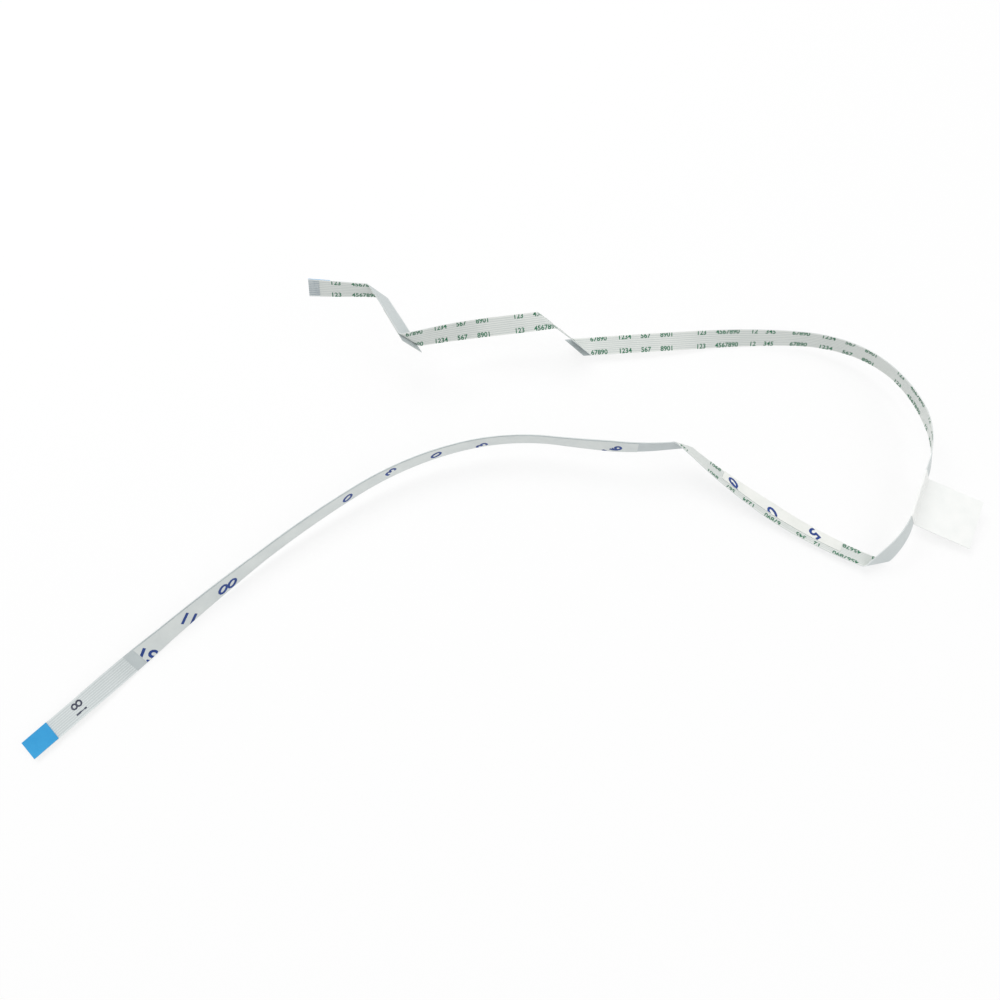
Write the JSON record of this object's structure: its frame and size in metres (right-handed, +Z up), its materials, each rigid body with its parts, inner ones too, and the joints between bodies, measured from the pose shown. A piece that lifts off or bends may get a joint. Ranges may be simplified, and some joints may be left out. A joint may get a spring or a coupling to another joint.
{
  "type": "flat flex cable",
  "caption": "Narrow flat flex cable creased across its corners into a bent route, with stiffened contact ends, adhesive tapes under release liners and a folded flag label.",
  "frame": {"origin": "centre of the footprint, on the surface that the cable lies on", "axes": "+X along the longest extent, from the contact end that rests on the surface towards the label; +Z up"},
  "size_m": [0.211, 0.1047, 0.0236],
  "materials": {
    "front_film": "satin",
    "back_film": "satin",
    "conductor": "tinned",
    "stiffener": "matt",
    "adhesive": "matt",
    "liner": "smooth",
    "label_paper": "matt"
  },
  "bodies": {
    "root": {"front_film": "front_film", "back_film": "back_film", "conductor_1": "conductor", "conductor_2": "conductor", "conductor_3": "conductor", "conductor_4": "conductor", "conductor_5": "conductor", "conductor_6": "conductor", "conductor_7": "conductor", "conductor_8": "conductor", "stiffener_a": "stiffener", "stiffener_b": "stiffener", "tape_1_adhesive": "adhesive", "tape_1_liner": "liner", "tape_2_adhesive": "adhesive", "tape_2_liner": "liner", "tape_3_adhesive": "adhesive", "tape_3_liner": "liner", "tape_4_adhesive": "adhesive", "tape_4_liner": "liner", "label": "label_paper"}
  },
  "joints": []
}
